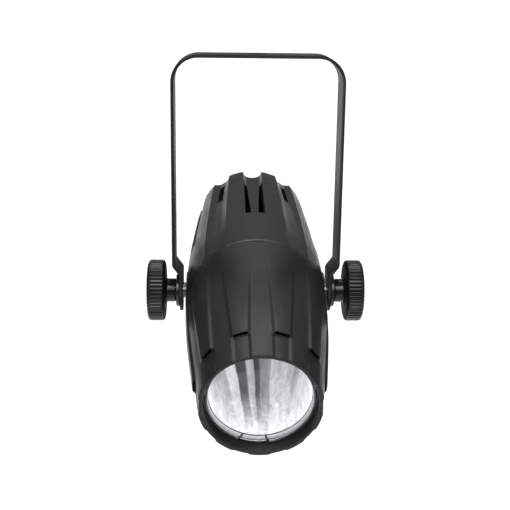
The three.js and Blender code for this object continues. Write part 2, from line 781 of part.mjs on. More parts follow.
add(head, 'lens', lens(), FINISH.glass);
add(head, 'lens_clip', lensClip(), FINISH.steel);
add(head, 'lens_gasket', lensGasket(), FINISH.rubber);
add(head, 'reflector', reflector(), FINISH.mirror);
add(head, 'heat_sink', heatSink(), FINISH.aluminium);
addEach(head, 'heat_sink_screw', spread(LUG.count, LUG.first, LUG.circle,
  () => screw(1.0, 2.3, 1.6, SINK.front + GAP, SINK.rear - 6)), FINISH.steel);
add(head, 'led_board', ledBoard(), FINISH.whiteBoard);
addEach(head, 'led_screw', spread(3, LED.screwFirst, LED.screwCircle,
  () => screw(0.8, 1.6, 1, LED.front + GAP, 28)), FINISH.steel);
add(head, 'led_emitter', ledEmitter(), FINISH.emitter);
add(head, 'led_wire_red', ledWire(1), FINISH.red);
add(head, 'led_wire_black', ledWire(-1), FINISH.black);

add(head, 'board_bracket', bracket(), FINISH.aluminium);
addEach(head, 'bracket_screw', bracketScrews(), FINISH.steel);
addEach(head, 'board_standoff', standoffs(), FINISH.brass);
addEach(head, 'board_screw', boardScrews(), FINISH.steel);
add(head, 'driver_board', driverBoard(), FINISH.greenBoard);
add(head, 'transformer', transformer(), FINISH.core);
add(head, 'capacitor', capacitor(), FINISH.component);
add(head, 'regulator', regulator(), FINISH.component);
add(head, 'terminal_block', terminalBlock(), FINISH.terminal);

add(head, 'gland_body', glandBody(), FINISH.knob);
add(head, 'gland_cap', glandCap(), FINISH.knob);
add(head, 'gland_seal', glandSeal(), FINISH.rubber);
add(head, 'gland_nut', glandNut(), FINISH.knob);

for (const [name, side] of [['left', -1], ['right', 1]]) {
  add(head, `trunnion_insert_${name}`, trunnionInsert(side), FINISH.brass);
  add(head, `spacer_${name}`, spacer(side), FINISH.steel);
  add(head, `washer_${name}`, washer(side), FINISH.blackSteel);
  add(head, `knob_${name}`, knob(side), FINISH.knob);
  add(head, `knob_stud_${name}`, knobStud(side), FINISH.steel);
}

export default light;
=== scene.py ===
# A compact par spotlight: a moulded black barrel head that tilts in a strip-steel yoke.
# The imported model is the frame. Every piece is built in millimetres in the head's own
# axes (X across, Y up, Z along the beam) or the yoke's, and placed by a matrix that
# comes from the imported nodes.

import json
import math

import bmesh
import bpy
from mathutils import Matrix, Vector


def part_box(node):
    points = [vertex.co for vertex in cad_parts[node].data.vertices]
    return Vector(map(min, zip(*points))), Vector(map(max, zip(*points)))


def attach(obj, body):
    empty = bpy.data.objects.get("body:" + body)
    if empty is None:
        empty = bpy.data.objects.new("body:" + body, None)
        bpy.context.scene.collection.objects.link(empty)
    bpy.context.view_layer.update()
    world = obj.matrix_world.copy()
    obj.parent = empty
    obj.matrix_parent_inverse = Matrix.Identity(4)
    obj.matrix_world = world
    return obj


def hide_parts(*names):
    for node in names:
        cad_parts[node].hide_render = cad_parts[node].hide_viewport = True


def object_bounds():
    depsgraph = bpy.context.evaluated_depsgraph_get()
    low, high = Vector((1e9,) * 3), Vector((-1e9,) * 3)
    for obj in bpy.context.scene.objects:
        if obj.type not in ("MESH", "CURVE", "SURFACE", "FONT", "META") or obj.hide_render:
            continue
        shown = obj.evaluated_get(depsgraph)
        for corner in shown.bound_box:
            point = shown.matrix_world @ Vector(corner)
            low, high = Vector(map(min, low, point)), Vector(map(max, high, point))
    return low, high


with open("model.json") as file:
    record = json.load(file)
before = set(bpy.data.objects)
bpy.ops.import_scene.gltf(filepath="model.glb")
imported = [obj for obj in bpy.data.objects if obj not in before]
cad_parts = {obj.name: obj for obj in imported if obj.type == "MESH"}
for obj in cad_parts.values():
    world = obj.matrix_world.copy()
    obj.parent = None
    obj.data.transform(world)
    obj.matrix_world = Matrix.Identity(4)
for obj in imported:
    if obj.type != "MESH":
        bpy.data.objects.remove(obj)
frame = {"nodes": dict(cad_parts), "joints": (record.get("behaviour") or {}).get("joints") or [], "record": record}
cad_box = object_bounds()

# ---------------------------------------------------------------- where things are

MM = 0.001
NODES = frame["nodes"]
PIVOT = Vector(next(j["pos_m"] for j in frame["joints"] if j["name"] == "head_tilt"))


def middle(node):
    low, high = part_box(node)
    return (low + high) / 2


def axes(x, y, z, origin):
    """A matrix from millimetres along x, y and z to the row frame."""
    columns = [v.normalized() * MM for v in (x, y, z)]
    turn = Matrix.Identity(3)
    for i, column in enumerate(columns):
        turn.col[i] = column
    return Matrix.Translation(origin) @ turn.to_4x4()


ACROSS = Vector((1, 0, 0))
BEAM = (middle("led_board") - PIVOT).normalized()
HEAD = axes(ACROSS, BEAM.cross(ACROSS), BEAM, PIVOT)
FRAME = Matrix.Scale(MM, 4)
SIDES = {"left": -1, "right": 1}


def side_axes(side):
    """Z runs out of the head along the tilt axis on that side."""
    outward = ACROSS * side
    up = BEAM.cross(ACROSS)
    return axes(up.cross(outward), up, outward, PIVOT)


def reach(node, place):
    """(lowest, highest) corner of a node in millimetres along a matrix's own axes."""
    back = place.inverted()
    points = [back @ v.co for v in NODES[node].data.vertices]
    low = Vector(min(p[i] for p in points) for i in range(3))
    high = Vector(max(p[i] for p in points) for i in range(3))
    return low, high


def stations(node):
    low, high = reach(node, HEAD)
    return low.z, high.z


# ---------------------------------------------------------------- mesh building


def smoothstep(t):
    t = min(max(t, 0.0), 1.0)
    return t * t * (3 - 2 * t)


def blend(low, high, t):
    return low + (high - low) * t


def table(points, at):
    """Straight-line interpolation in a list of (position, value) pairs."""
    if at <= points[0][0]:
        return points[0][1]
    for (a, low), (b, high) in zip(points, points[1:]):
        if at <= b:
            return blend(low, high, (at - a) / (b - a))
    return points[-1][1]


def soften(profile, radius, steps=3, closed=True):
    """Rounds the corners of a 2-D outline. A point may carry its own radius."""
    count = len(profile)
    rounded = []
    for i, point in enumerate(profile):
        own = point[2] if len(point) > 2 else radius
        here = Vector(point[:2])
        if not closed and i in (0, count - 1):
            rounded.append(tuple(here))
            continue
        before = Vector(profile[i - 1][:2]) - here
        after = Vector(profile[(i + 1) % count][:2]) - here
        turn = math.pi - before.angle(after)
        if own <= 0 or turn < math.radians(8):
            rounded.append(tuple(here))
            continue
        cut = min(own * math.tan(turn / 2), before.length * 0.45, after.length * 0.45)
        start = here + before.normalized() * cut
        end = here + after.normalized() * cut
        for k in range(steps + 1):
            t = k / steps
            spot = start * (1 - t) ** 2 + here * 2 * t * (1 - t) + end * t * t
            rounded.append(tuple(spot))
    return rounded


def revolve(profile, columns=96, warp=None):
    """Turns a (radius, station) profile about Z. It closes on itself or ends on the axis."""
    rings = []
    verts = []
    on_axis = profile[0][0] == 0 and profile[-1][0] == 0
    for j, (radius, station) in enumerate(profile):
        if radius == 0:
            rings.append([len(verts)] * columns)
            verts.append((0, 0, station))
            continue
        ring = []
        for i in range(columns):
            angle, away, along = i * 2 * math.pi / columns, radius, station
            if warp:
                angle, away, along = warp(i, j, angle, radius, station)
            ring.append(len(verts))
            verts.append((away * math.sin(angle), away * math.cos(angle), along))
        rings.append(ring)
    faces = []
    pairs = len(profile) - 1 if on_axis else len(profile)
    for j in range(pairs):
        near, far = rings[j], rings[(j + 1) % len(rings)]
        for i in range(columns):
            k = (i + 1) % columns
            corners = [near[i], near[k], far[k], far[i]]
            faces.append(list(dict.fromkeys(corners)))
    return verts, faces


def prism(outline, start, end, plane="xz"):
    """An outline drawn in one plane and drawn out along the third axis."""
    order = {"xz": (0, 2, 1), "xy": (0, 1, 2), "yz": (1, 2, 0)}[plane]
    verts = []
    for depth in (start, end):
        for a, b in outline:
            spot = [0, 0, 0]
            spot[order[0]], spot[order[1]], spot[order[2]] = a, b, depth
            verts.append(tuple(spot))
    count = len(outline)
    faces = [list(range(count)), list(range(count, 2 * count))]
    for i in range(count):
        k = (i + 1) % count
        faces.append([i, k, count + k, count + i])
    return verts, faces


def tube(path, radius, sides=12):
    """A round wire along a list of points, with rounded ends."""
    path = [Vector(p) for p in path]
    verts, faces = [], []
    normal = (path[1] - path[0]).orthogonal().normalized()
    rings = []
    last = len(path) - 1
    for i, point in enumerate(path):
        along = (path[min(i + 1, last)] - path[max(i - 1, 0)]).normalized()
        normal = (normal - along * normal.dot(along)).normalized()
        third = along.cross(normal)
        caps = [(0.0, 1.0)]
        if i == 0:
            caps = [(-0.95, 0.3), (-0.7, 0.71), (0.0, 1.0)]
        if i == last:
            caps = [(0.0, 1.0), (0.7, 0.71), (0.95, 0.3)]
        for push, share in caps:
            ring = []
            for k in range(sides):
                turn = 2 * math.pi * k / sides
                out = normal * math.cos(turn) + third * math.sin(turn)
                ring.append(len(verts))
                verts.append(tuple(point + along * push * radius + out * radius * share))
            rings.append(ring)
    for near, far in zip(rings, rings[1:]):
        for k in range(sides):
            j = (k + 1) % sides
            faces.append([near[k], near[j], far[j], far[k]])
    faces += [rings[0], rings[-1]]
    return verts, faces


def turned(shape, degrees):
    """The same shape at an angle round the beam, clockwise seen from the lens side."""
    turn = Matrix.Rotation(-math.radians(degrees), 4, "Z")
    return [tuple(turn @ Vector(v)) for v in shape[0]], shape[1]


def moved(shape, x=0, y=0, z=0):
    return [(a + x, b + y, c + z) for a, b, c in shape[0]], shape[1]


def together(shapes):
    """Several shapes in one mesh."""
    verts, faces = [], []
    for more_verts, more_faces in shapes:
        start = len(verts)
        verts += more_verts
        faces += [[start + i for i in face] for face in more_faces]
    return verts, faces


def to_object(name, shape, place):
    mesh = bpy.data.meshes.new(name)
    build = bmesh.new()
    spots = [build.verts.new(place @ Vector(v)) for v in shape[0]]
    for face in shape[1]:
        build.faces.new([spots[i] for i in face])
    bmesh.ops.recalc_face_normals(build, faces=build.faces)
    build.to_mesh(mesh)
    build.free()
    made = bpy.data.objects.new(name, mesh)
    bpy.context.scene.collection.objects.link(made)
    return made


def apply_modifiers(piece):
    """Turns what the modifiers make into the piece's own mesh."""
    graph = bpy.context.evaluated_depsgraph_get()
    result = bpy.data.meshes.new_from_object(piece.evaluated_get(graph))
    old = piece.data
    piece.modifiers.clear()
    piece.data = result
    bpy.data.meshes.remove(old)
    result.name = piece.name


def carve(piece, shape, place, operation="DIFFERENCE"):
    """Cuts a shape from a piece, or joins it on."""
    tool = to_object("tool", shape, place)
    modifier = piece.modifiers.new("carve", "BOOLEAN")
    modifier.operation = operation
    modifier.solver = "EXACT"
    modifier.object = tool
    apply_modifiers(piece)
    mesh = tool.data
    bpy.data.objects.remove(tool)
    bpy.data.meshes.remove(mesh)


def ease_edges(piece, width, segments=3, limit=40):
    """Rounds the sharp edges of a piece."""
    modifier = piece.modifiers.new("ease", "BEVEL")
    modifier.width = width * MM
    modifier.segments = segments
    modifier.limit_method = "ANGLE"
    modifier.angle_limit = math.radians(limit)
    modifier.harden_normals = True
    apply_modifiers(piece)


def finish_piece(piece, material, body, stands_for=(), crease=38):
    """Shades a piece, gives it its material and lets it ride on its body."""
    piece.data.shade_smooth()
    piece.data.set_sharp_from_angle(angle=math.radians(crease))
    piece.data.materials.clear()
    piece.data.materials.append(material)
    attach(piece, body)
    if stands_for:
        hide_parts(*stands_for)
    return piece


def build(name, shape, place, material, body, stands_for=(), crease=38):
    return finish_piece(to_object(name, shape, place), material, body, stands_for, crease)


SLOT_OF = {part["node"]: part["material_slot"] for part in frame["record"]["subparts"]}

# ---------------------------------------------------------------- material building


def glow_a_little(material, strength):
    """Light that the lens gathers, which the render can't bring through the glass."""
    shader = next(n for n in material.node_tree.nodes if n.type == "BSDF_PRINCIPLED")
    shader.inputs["Emission Color"].default_value = (1, 1, 1, 1)
    shader.inputs["Emission Strength"].default_value = strength


def new_tree(name):
    material = bpy.data.materials.new(name)
    material.use_nodes = True
    tree = material.node_tree
    tree.nodes.clear()
    output = tree.nodes.new("ShaderNodeOutputMaterial")
    shader = tree.nodes.new("ShaderNodeBsdfPrincipled")
    tree.links.new(shader.outputs["BSDF"], output.inputs["Surface"])
    return material, tree, shader


def node(tree, kind, inputs=None, **settings):
    made = tree.nodes.new("ShaderNode" + kind)
    for key, value in settings.items():
        setattr(made, key, value)
    for key, value in (inputs or {}).items():
        if isinstance(value, bpy.types.NodeSocket):
            tree.links.new(value, made.inputs[key])
        else:
            made.inputs[key].default_value = value
    return made


def place_vector(tree, stretch=(1, 1, 1), tilt=0.0):
    """Object coordinates, turned about X and stretched."""
    where = node(tree, "TexCoord").outputs["Object"]
    scaled = node(tree, "Mapping", {"Vector": where, "Rotation": (tilt, 0, 0), "Scale": stretch})
    return scaled.outputs["Vector"]


def noise(tree, vector, scale, detail=3.0, rough=0.5, distortion=0.0):
    settings = {
        "Vector": vector,
        "Scale": scale,
        "Detail": detail,
        "Roughness": rough,
        "Distortion": distortion,
    }
    return node(tree, "TexNoise", settings).outputs["Fac"]


def ramp(tree, factor, stops):
    """Colours at positions along a factor; a colour is (r, g, b)."""
    made = node(tree, "ValToRGB", {"Fac": factor})
    bar = made.color_ramp
    while len(bar.elements) > 1:
        bar.elements.remove(bar.elements[-1])
    bar.elements[0].position = stops[0][0]
    bar.elements[0].color = (*stops[0][1], 1)
    for position, colour in stops[1:]:
        bar.elements.new(position).color = (*colour, 1)
    return made.outputs["Color"]


def spread(tree, value, low, high, source=(0.3, 0.7)):
    inputs = {
        "Value": value,
        "From Min": source[0],
        "From Max": source[1],
        "To Min": low,
        "To Max": high,
    }
    return node(tree, "MapRange", inputs).outputs["Result"]


def bump(tree, height, distance, strength=1.0, normal=None):
    inputs = {"Height": height, "Distance": distance * MM, "Strength": strength}
    if normal is not None:
        inputs["Normal"] = normal
    return node(tree, "Bump", inputs).outputs["Normal"]


def set_shader(tree, shader, **values):
    for key, value in values.items():
        socket = shader.inputs[key.replace("_", " ")]
        if isinstance(value, bpy.types.NodeSocket):
            tree.links.new(value, socket)
        else:
            socket.default_value = value


def moulded(name, dark, light, rough, grain=5200, grain_height=0.012, **shader_values):
    """Black moulded plastic: fine tool texture, faint flow clouds, uneven gloss."""
    material, tree, shader = new_tree(name)
    where = place_vector(tree)
    clouds = noise(tree, where, 45, 4, 0.6, 0.4)
    fine = noise(tree, where, grain, 3, 0.65)
    rub = noise(tree, place_vector(tree, (1, 0.25, 1)), 160, 5, 0.7)
    colour = ramp(tree, clouds, [(0.3, dark), (0.7, light)])
    gloss = spread(tree, rub, rough[0], rough[1])
    normal = bump(tree, fine, grain_height)
    normal = bump(tree, clouds, 0.05, 0.4, normal)
    set_shader(tree, shader, Base_Color=colour, Roughness=gloss, Normal=normal)
    set_shader(tree, shader, **shader_values)
    return material


def powder_coat(name, dark, light, rough):
    """Satin powder coat on steel: orange peel, and edges rubbed a little lighter."""
    material, tree, shader = new_tree(name)
    where = place_vector(tree)
    peel = noise(tree, where, 950, 2, 0.45)
    clouds = noise(tree, where, 38, 4, 0.6)
    specks = noise(tree, where, 2600, 2, 0.5)
    edge = node(tree, "NewGeometry").outputs["Pointiness"]
    worn = spread(tree, edge, 0.0, 1.0, (0.53, 0.6))
    base = ramp(tree, clouds, [(0.3, dark), (0.7, light)])
    rubbed = tuple(c * 2.2 for c in light)
    colour = node(
        tree,
        "MixRGB",
        {"Fac": worn, "Color1": base, "Color2": (*rubbed, 1)},
    ).outputs["Color"]
    gloss = spread(tree, specks, rough[0], rough[1])
    set_shader(tree, shader, Base_Color=colour, Roughness=gloss, Normal=bump(tree, peel, 0.03))
    shader.inputs["Specular IOR Level"].default_value = 0.16
    return material


def metal(name, dark, light, rough, lines=900, stretch=(1, 1, 1), height=0.004):
    """Machined or drawn metal: fine tool lines, cloudy tone and uneven gloss."""
    material, tree, shader = new_tree(name)
    where = place_vector(tree, stretch)
    marks = noise(tree, where, lines, 5, 0.7)
    clouds = noise(tree, place_vector(tree), 120, 4, 0.6)
    colour = ramp(tree, clouds, [(0.3, dark), (0.7, light)])
    gloss = spread(tree, marks, rough[0], rough[1])
    set_shader(tree, shader, Base_Color=colour, Roughness=gloss, Normal=bump(tree, marks, height))
    shader.inputs["Metallic"].default_value = 1.0
    return material


def speckled(name, dark, light, rough, scale, metallic=0.0, height=0.01):
    """A small cast, dipped or printed part: spots of tone over a slightly uneven face."""
    material, tree, shader = new_tree(name)
    where = place_vector(tree)
    spots = node(tree, "TexVoronoi", {"Vector": where, "Scale": scale}).outputs["Distance"]
    fine = noise(tree, where, scale * 4, 4, 0.6)
    colour = ramp(tree, spots, [(0.1, dark), (0.6, light)])
    gloss = spread(tree, fine, rough[0], rough[1])
    set_shader(tree, shader, Base_Color=colour, Roughness=gloss, Normal=bump(tree, fine, height))
    shader.inputs["Metallic"].default_value = metallic
    return material


def circuit_board(name, mask, track, rough):
    """Solder mask over a pattern of tracks."""
    material, tree, shader = new_tree(name)
    where = place_vector(tree)
    bricks = node(
        tree,
        "TexBrick",
        {
            "Vector": where,
            "Color1": (*mask, 1),
            "Color2": (*mask, 1),
            "Mortar": (*track, 1),
            "Scale": 160.0,
            "Mortar Size": 0.08,
        },
    )
    fine = noise(tree, where, 900, 3, 0.6)
    gloss = spread(tree, fine, rough[0], rough[1])
    normal = bump(tree, bricks.outputs["Fac"], 0.03, 0.6)
    set_shader(tree, shader, Base_Color=bricks.outputs["Color"], Roughness=gloss, Normal=normal)
    return material


def wound(name, dark, light, rough):
    """Turns of varnished wire."""
    material, tree, shader = new_tree(name)
    where = place_vector(tree)
    turns = node(
        tree,
        "TexWave",
        {"Vector": where, "Scale": 520.0, "Distortion": 0.6, "Detail": 2.0},
        bands_direction="Y",
    ).outputs["Fac"]
    colour = ramp(tree, turns, [(0.1, dark), (0.8, light)])
    gloss = spread(tree, turns, rough[0], rough[1])
    set_shader(tree, shader, Base_Color=colour, Roughness=gloss, Normal=bump(tree, turns, 0.15))
    return material


def glass(name):
    """Polished clear lens with a trace of dust and fine wipe marks."""
    material, tree, shader = new_tree(name)
    where = place_vector(tree)
    dust = noise(tree, where, 700, 6, 0.75)
    wipes = noise(tree, place_vector(tree, (1, 0.15, 0.15)), 240, 4, 0.6)
    tint = ramp(tree, wipes, [(0.3, (0.94, 0.96, 0.97)), (0.7, (0.99, 0.99, 1.0))])
    gloss = spread(tree, dust, 0.0, 0.07, (0.45, 0.8))
    set_shader(tree, shader, Base_Color=tint, Roughness=gloss, Normal=bump(tree, wipes, 0.01, 0.3))
    shader.inputs["Transmission Weight"].default_value = 1.0
    shader.inputs["IOR"].default_value = 1.49
    return material


# Across the reflector, millimetres from its middle: tone of the long pale and dark bands, painted reflections
# fixed to the reflector.
PAINTED_REFLECTION_BANDS = [
    (-24.0, 0.42),
    (-11.6, 0.5),
    (-10.8, 1.0),
    (-7.3, 0.95),
    (-6.8, 0.05),
    (-3.6, 0.1),
    (-3.1, 0.75),
    (-1.0, 0.6),
    (-0.6, 0.05),
    (0.9, 0.09),
    (1.3, 0.38),
    (4.7, 0.45),
    (5.2, 0.95),
    (12.8, 0.8),
    (14.2, 0.45),
    (15.2, 0.5),
    (16.5, 0.8),
    (24.0, 0.66),
]


def reflector_with_painted_reflections(name):
    """Bright reflector with painted reflections: long pale and dark bands draw together towards the lens and turn
    pale near it. A little emission stands for the daylight that the lens gathers onto it."""
    material, tree, shader = new_tree(name)
    where = node(tree, "TexCoord").outputs["Object"]
    local = node(tree, "VectorMath", {0: where, 1: PIVOT}, operation="SUBTRACT").outputs["Vector"]
    along = node(tree, "VectorMath", {0: local, 1: BEAM}, operation="DOT_PRODUCT").outputs["Value"]
    narrowing = spread(tree, along, 1.05, 0.8, (40 * MM, 81 * MM))
    across = node(tree, "SeparateXYZ", {"Vector": local}).outputs["X"]
    wander = noise(tree, place_vector(tree), 90, 2, 0.5)
    shift = spread(tree, wander, -0.3 * MM, 0.3 * MM)
    shifted = node(tree, "Math", {0: across, 1: shift}, operation="ADD").outputs["Value"]
    band = node(tree, "Math", {0: shifted, 1: narrowing}, operation="DIVIDE").outputs["Value"]
    # Painted reflections: the band tones are laid across the reflector and draw together towards the lens.
    edge = -PAINTED_REFLECTION_BANDS[0][0]
    factor = spread(tree, band, 0.0, 1.0, (-edge * MM, edge * MM))
    stops = [((x + edge) / (2 * edge), (tone, tone, tone * 1.01)) for x, tone in PAINTED_REFLECTION_BANDS]
    painted_bands = ramp(tree, factor, stops)
    tilt = math.atan2(BEAM.z, -BEAM.y)
    streaks = noise(tree, place_vector(tree, (1.0, 0.05, 0.6), tilt), 420, 3, 0.6)
    fine = noise(tree, place_vector(tree), 1500, 4, 0.7)
    # Painted light: the bands turn pale towards the lens.
    painted_pale_share = spread(tree, along, 0.0, 0.85, (60 * MM, 80 * MM))
    pale = {"Fac": painted_pale_share, "Color1": painted_bands, "Color2": (0.95, 0.95, 0.96, 1)}
    painted_bands = node(tree, "MixRGB", pale).outputs["Color"]
    mottle = noise(tree, place_vector(tree), 520, 5, 0.75)
    for mask in (
        ramp(tree, streaks, [(0.3, (0.62, 0.62, 0.63)), (0.7, (1.0, 1.0, 1.0))]),
        ramp(tree, mottle, [(0.35, (0.66, 0.66, 0.67)), (0.62, (1.0, 1.0, 1.0))]),
    ):
        mixed = {"Fac": 1.0, "Color1": painted_bands, "Color2": mask}
        painted_bands = node(tree, "MixRGB", mixed, blend_type="MULTIPLY").outputs["Color"]
    colour = painted_bands
    gathered = spread(tree, along, 0.34, 1.12, (42 * MM, 84 * MM))
    normal = bump(tree, streaks, 0.1, 0.6)
    normal = bump(tree, fine, 0.01, 0.5, normal)
    gloss = spread(tree, fine, 0.26, 0.4)
    set_shader(tree, shader, Base_Color=colour, Roughness=gloss, Normal=normal)
    # The glow takes the colour of the painted bands, so it carries the painted reflections too.
    set_shader(tree, shader, Emission_Color=colour, Emission_Strength=gathered)
    shader.inputs["Metallic"].default_value = 0.55
    return material


MATERIALS = {
    "black_shell_plastic": moulded(
        "black_shell_plastic", (0.012, 0.012, 0.013), (0.018, 0.018, 0.019), (0.3, 0.42)
    ),
    "black_knob_plastic": moulded(
        "black_knob_plastic", (0.008, 0.008, 0.009), (0.014, 0.014, 0.015), (0.14, 0.24)
    ),
    # A darker, duller copy of the knob plastic: painted shade for the knob's faces that turn toward the head.
    "knob_shaded_plastic": moulded(
        "knob_shaded_plastic",
        (0.006, 0.006, 0.007),
        (0.011, 0.011, 0.012),
        (0.6, 0.75),
        Specular_IOR_Level=0.12,
    ),
    "black_gland_plastic": moulded(
        "black_gland_plastic", (0.014, 0.014, 0.015), (0.02, 0.02, 0.021), (0.35, 0.5)
    ),
    "yoke_paint": powder_coat(
        "yoke_paint", (0.018, 0.018, 0.019), (0.028, 0.028, 0.029), (0.42, 0.55)
    ),
    "black_steel": metal("black_steel", (0.05, 0.05, 0.052), (0.1, 0.1, 0.105), (0.25, 0.4)),
    "bright_steel": metal("bright_steel", (0.6, 0.61, 0.63), (0.8, 0.81, 0.83), (0.12, 0.26)),
    "dull_steel": metal("dull_steel", (0.28, 0.28, 0.29), (0.4, 0.4, 0.41), (0.24, 0.38)),
    "clip_steel": metal("clip_steel", (0.1, 0.1, 0.105), (0.2, 0.2, 0.21), (0.2, 0.34)),
    "milky_silicone": speckled(
        "milky_silicone", (0.62, 0.63, 0.64), (0.78, 0.79, 0.8), (0.35, 0.5), 1400
    ),
    "rubber": speckled("rubber", (0.008, 0.008, 0.008), (0.016, 0.016, 0.016), (0.7, 0.95), 1800),
    "clear_lens": glass("clear_lens"),
    "bright_reflector": reflector_with_painted_reflections("bright_reflector"),
    "reflector_back": metal("reflector_back", (0.5, 0.5, 0.51), (0.62, 0.62, 0.63), (0.3, 0.45), 500),
    "aluminium": metal("aluminium", (0.5, 0.51, 0.52), (0.66, 0.67, 0.68), (0.25, 0.45), 700),
    "brass": metal("brass", (0.5, 0.33, 0.11), (0.68, 0.48, 0.2), (0.18, 0.34)),
    "white_board": circuit_board("white_board", (0.78, 0.78, 0.75), (0.66, 0.66, 0.63), (0.3, 0.5)),
    "emitter": speckled("emitter", (0.7, 0.52, 0.1), (0.85, 0.7, 0.22), (0.2, 0.4), 2200),
    "green_board": circuit_board("green_board", (0.012, 0.09, 0.035), (0.03, 0.2, 0.08), (0.25, 0.4)),
    "winding": wound("winding", (0.2, 0.1, 0.02), (0.55, 0.34, 0.1), (0.25, 0.45)),
    "dark_component": speckled(
        "dark_component", (0.015, 0.016, 0.018), (0.03, 0.032, 0.035), (0.35, 0.55), 1500
    ),
    "green_terminal": speckled(
        "green_terminal", (0.02, 0.16, 0.06), (0.035, 0.24, 0.1), (0.35, 0.5), 900
    ),
    "red_wire": speckled("red_wire", (0.3, 0.012, 0.012), (0.45, 0.03, 0.03), (0.35, 0.5), 1100),
    "black_wire": speckled("black_wire", (0.008, 0.008, 0.008), (0.015, 0.015, 0.015), (0.35, 0.5), 1100),
}

glow_a_little(MATERIALS["milky_silicone"], 0.28)

# ---------------------------------------------------------------- front shell

SEAM_REAR = stations("rear_shell")[1]
SEAM_FRONT, HEAD_FRONT = stations("front_shell")
HEAD_REAR = stations("rear_shell")[0]

GILLS = 10
GILL_END = 78.3
GILL_HALF_ANGLE = [(SEAM_FRONT, 11.5), (GILL_END, 6.6)]
GILL_RISE = [(SEAM_FRONT, 0.4), (40, 0.65), (GILL_END, 1.05)]
GILL_WALL = 2.3  # degrees
GILL_RECESS = 0.55
GILL_ROOF = 0.5
VENT = {"half": 3.1, "depth": 5.0, "rear": 74.9}
FRONT_SKIN = [
    (SEAM_FRONT, 34.3),
    (30, 33.5),
    (46, 32.3),
    (62, 30.5),
    (75, 28.9),
    (GILL_END, 28.5),
    (82, 28.1),
    (HEAD_FRONT, 26.9),
]
# Across half a gill: share of its half angle, degrees beyond that, share of the rise.
GILL_COLUMNS = [
    (0.0, 0.0, 1.0),
    (0.25, 0.0, 1.0),
    (0.5, 0.0, 1.0),
    (0.75, 0.0, 1.0),
    (0.9, 0.0, 1.0),
    (1.0, -0.3, 0.99),
    (1.0, -0.05, 0.93),
    (1.0, GILL_WALL * 0.3, 0.7),
    (1.0, GILL_WALL * 0.7, 0.3),
    (1.0, GILL_WALL + 0.05, 0.05),
    (1.0, GILL_WALL + 0.35, 0.0),
]
GAP_COLUMNS = 4  # more columns from a gill's foot to the middle of the gap


def front_rows():
    """Stations of the skin's rows, close together at the lip of each gill and both ends."""
    rows = [SEAM_FRONT, SEAM_FRONT + 0.12, SEAM_FRONT + 0.35, SEAM_FRONT + 0.8]
    count = 46
    rows += [blend(SEAM_FRONT + 2, GILL_END - 1.2, i / count) for i in range(count + 1)]
    rows += [GILL_END + d for d in (-0.6, -0.3, -0.12, -0.03, 0.03, 0.12, 0.24, 0.4, 0.7)]
    rows += [blend(GILL_END + 1.4, HEAD_FRONT - 1.4, i / 8) for i in range(9)]
    rows += [HEAD_FRONT - d for d in (0.8, 0.45, 0.22, 0.08, 0.0)]
    return rows


def edge_drop(station, low, high, radius):
    """How far a rounded end pulls the skin in near either end."""
    inside = min(station - low, high - station)
    if inside >= radius:
        return 0.0
    away = radius - inside
    return radius - math.sqrt(max(radius * radius - away * away, 0.0))


def gill_rise(station):
    """Height over the skin of a gill's roof, then of the channel ahead of it."""
    roof = table(GILL_RISE, station)
    lip = [(-0.6, 0.0), (-0.3, 0.06), (-0.12, 0.2), (-0.03, 0.4), (0.03, 0.6), (0.24, 1.0)]
    fall = table(lip, station - GILL_END)
    floor = -GILL_RECESS * smoothstep((station - GILL_END) / 0.4)
    return blend(roof, floor if station > GILL_END else 0.0, fall) if fall < 1 else floor


def front_shell():
    rows = front_rows()
    outer = [(table(FRONT_SKIN, s), s) for s in rows]
    low, ledge = stations("lens_gasket")[0] - 0.3, reach("lens_gasket", HEAD)[1].x
    mouth, seat = 24.9, 24.2
    inner = [
        (mouth + 0.5, HEAD_FRONT - 0.02),
        (mouth + 0.2, HEAD_FRONT - 0.1),
        (mouth, HEAD_FRONT - 0.5),
        (seat + 0.35, low + 5),
        (seat, low + 0.02),
        (ledge - 1.3, low),
        (ledge - 1.5, low - 0.3),
        (ledge - 1.5, low - 2),
        (25.2, 78),
        (29.4, 58),
        (31.6, 34),
        (31.9, SEAM_FRONT),
    ]
    profile = outer + inner
    columns = []
    pitch = 360 / GILLS
    for gill in range(GILLS):
        centre = (gill + 0.5) * pitch
        half = list(GILL_COLUMNS[1:])
        for share, shift, height in reversed(half):
            columns.append((centre, -share, -shift, height))
        for share, shift, height in GILL_COLUMNS:
            columns.append((centre, share, shift, height))
        for k in range(1, GAP_COLUMNS):
            columns.append((centre, None, k / GAP_COLUMNS, 0.0))

    def warp(i, j, _angle, radius, station):
        centre, share, shift, height = columns[i]
        half = table(GILL_HALF_ANGLE, min(station, GILL_END))
        foot = half + GILL_COLUMNS[-1][1]
        offset = share * half + shift if share is not None else blend(foot, pitch - foot, shift)
        if j < len(outer):
            radius += height * gill_rise(station)
            radius -= edge_drop(station, SEAM_FRONT, HEAD_FRONT, 0.45)
        return math.radians(centre + offset), radius, station

    piece = to_object("front_shell_moulding", revolve(profile, len(columns), warp), HEAD)
    vents = []
    roof = table(FRONT_SKIN, GILL_END) + GILL_RISE[-1][1] - GILL_ROOF
    half, base = VENT["half"], roof - VENT["depth"]
    outline = soften([(-half, base), (half, base), (half, roof), (-half, roof)], 0.4, 4)
    for gill in range(GILLS):
        vent = prism(outline, VENT["rear"], GILL_END + 0.3, "xy")
        vents.append(turned(vent, (gill + 0.5) * pitch))
    carve(piece, together(vents), HEAD)
    finish_piece(piece, MATERIALS["black_shell_plastic"], "head", ["front_shell"], 32)


# ---------------------------------------------------------------- rear shell

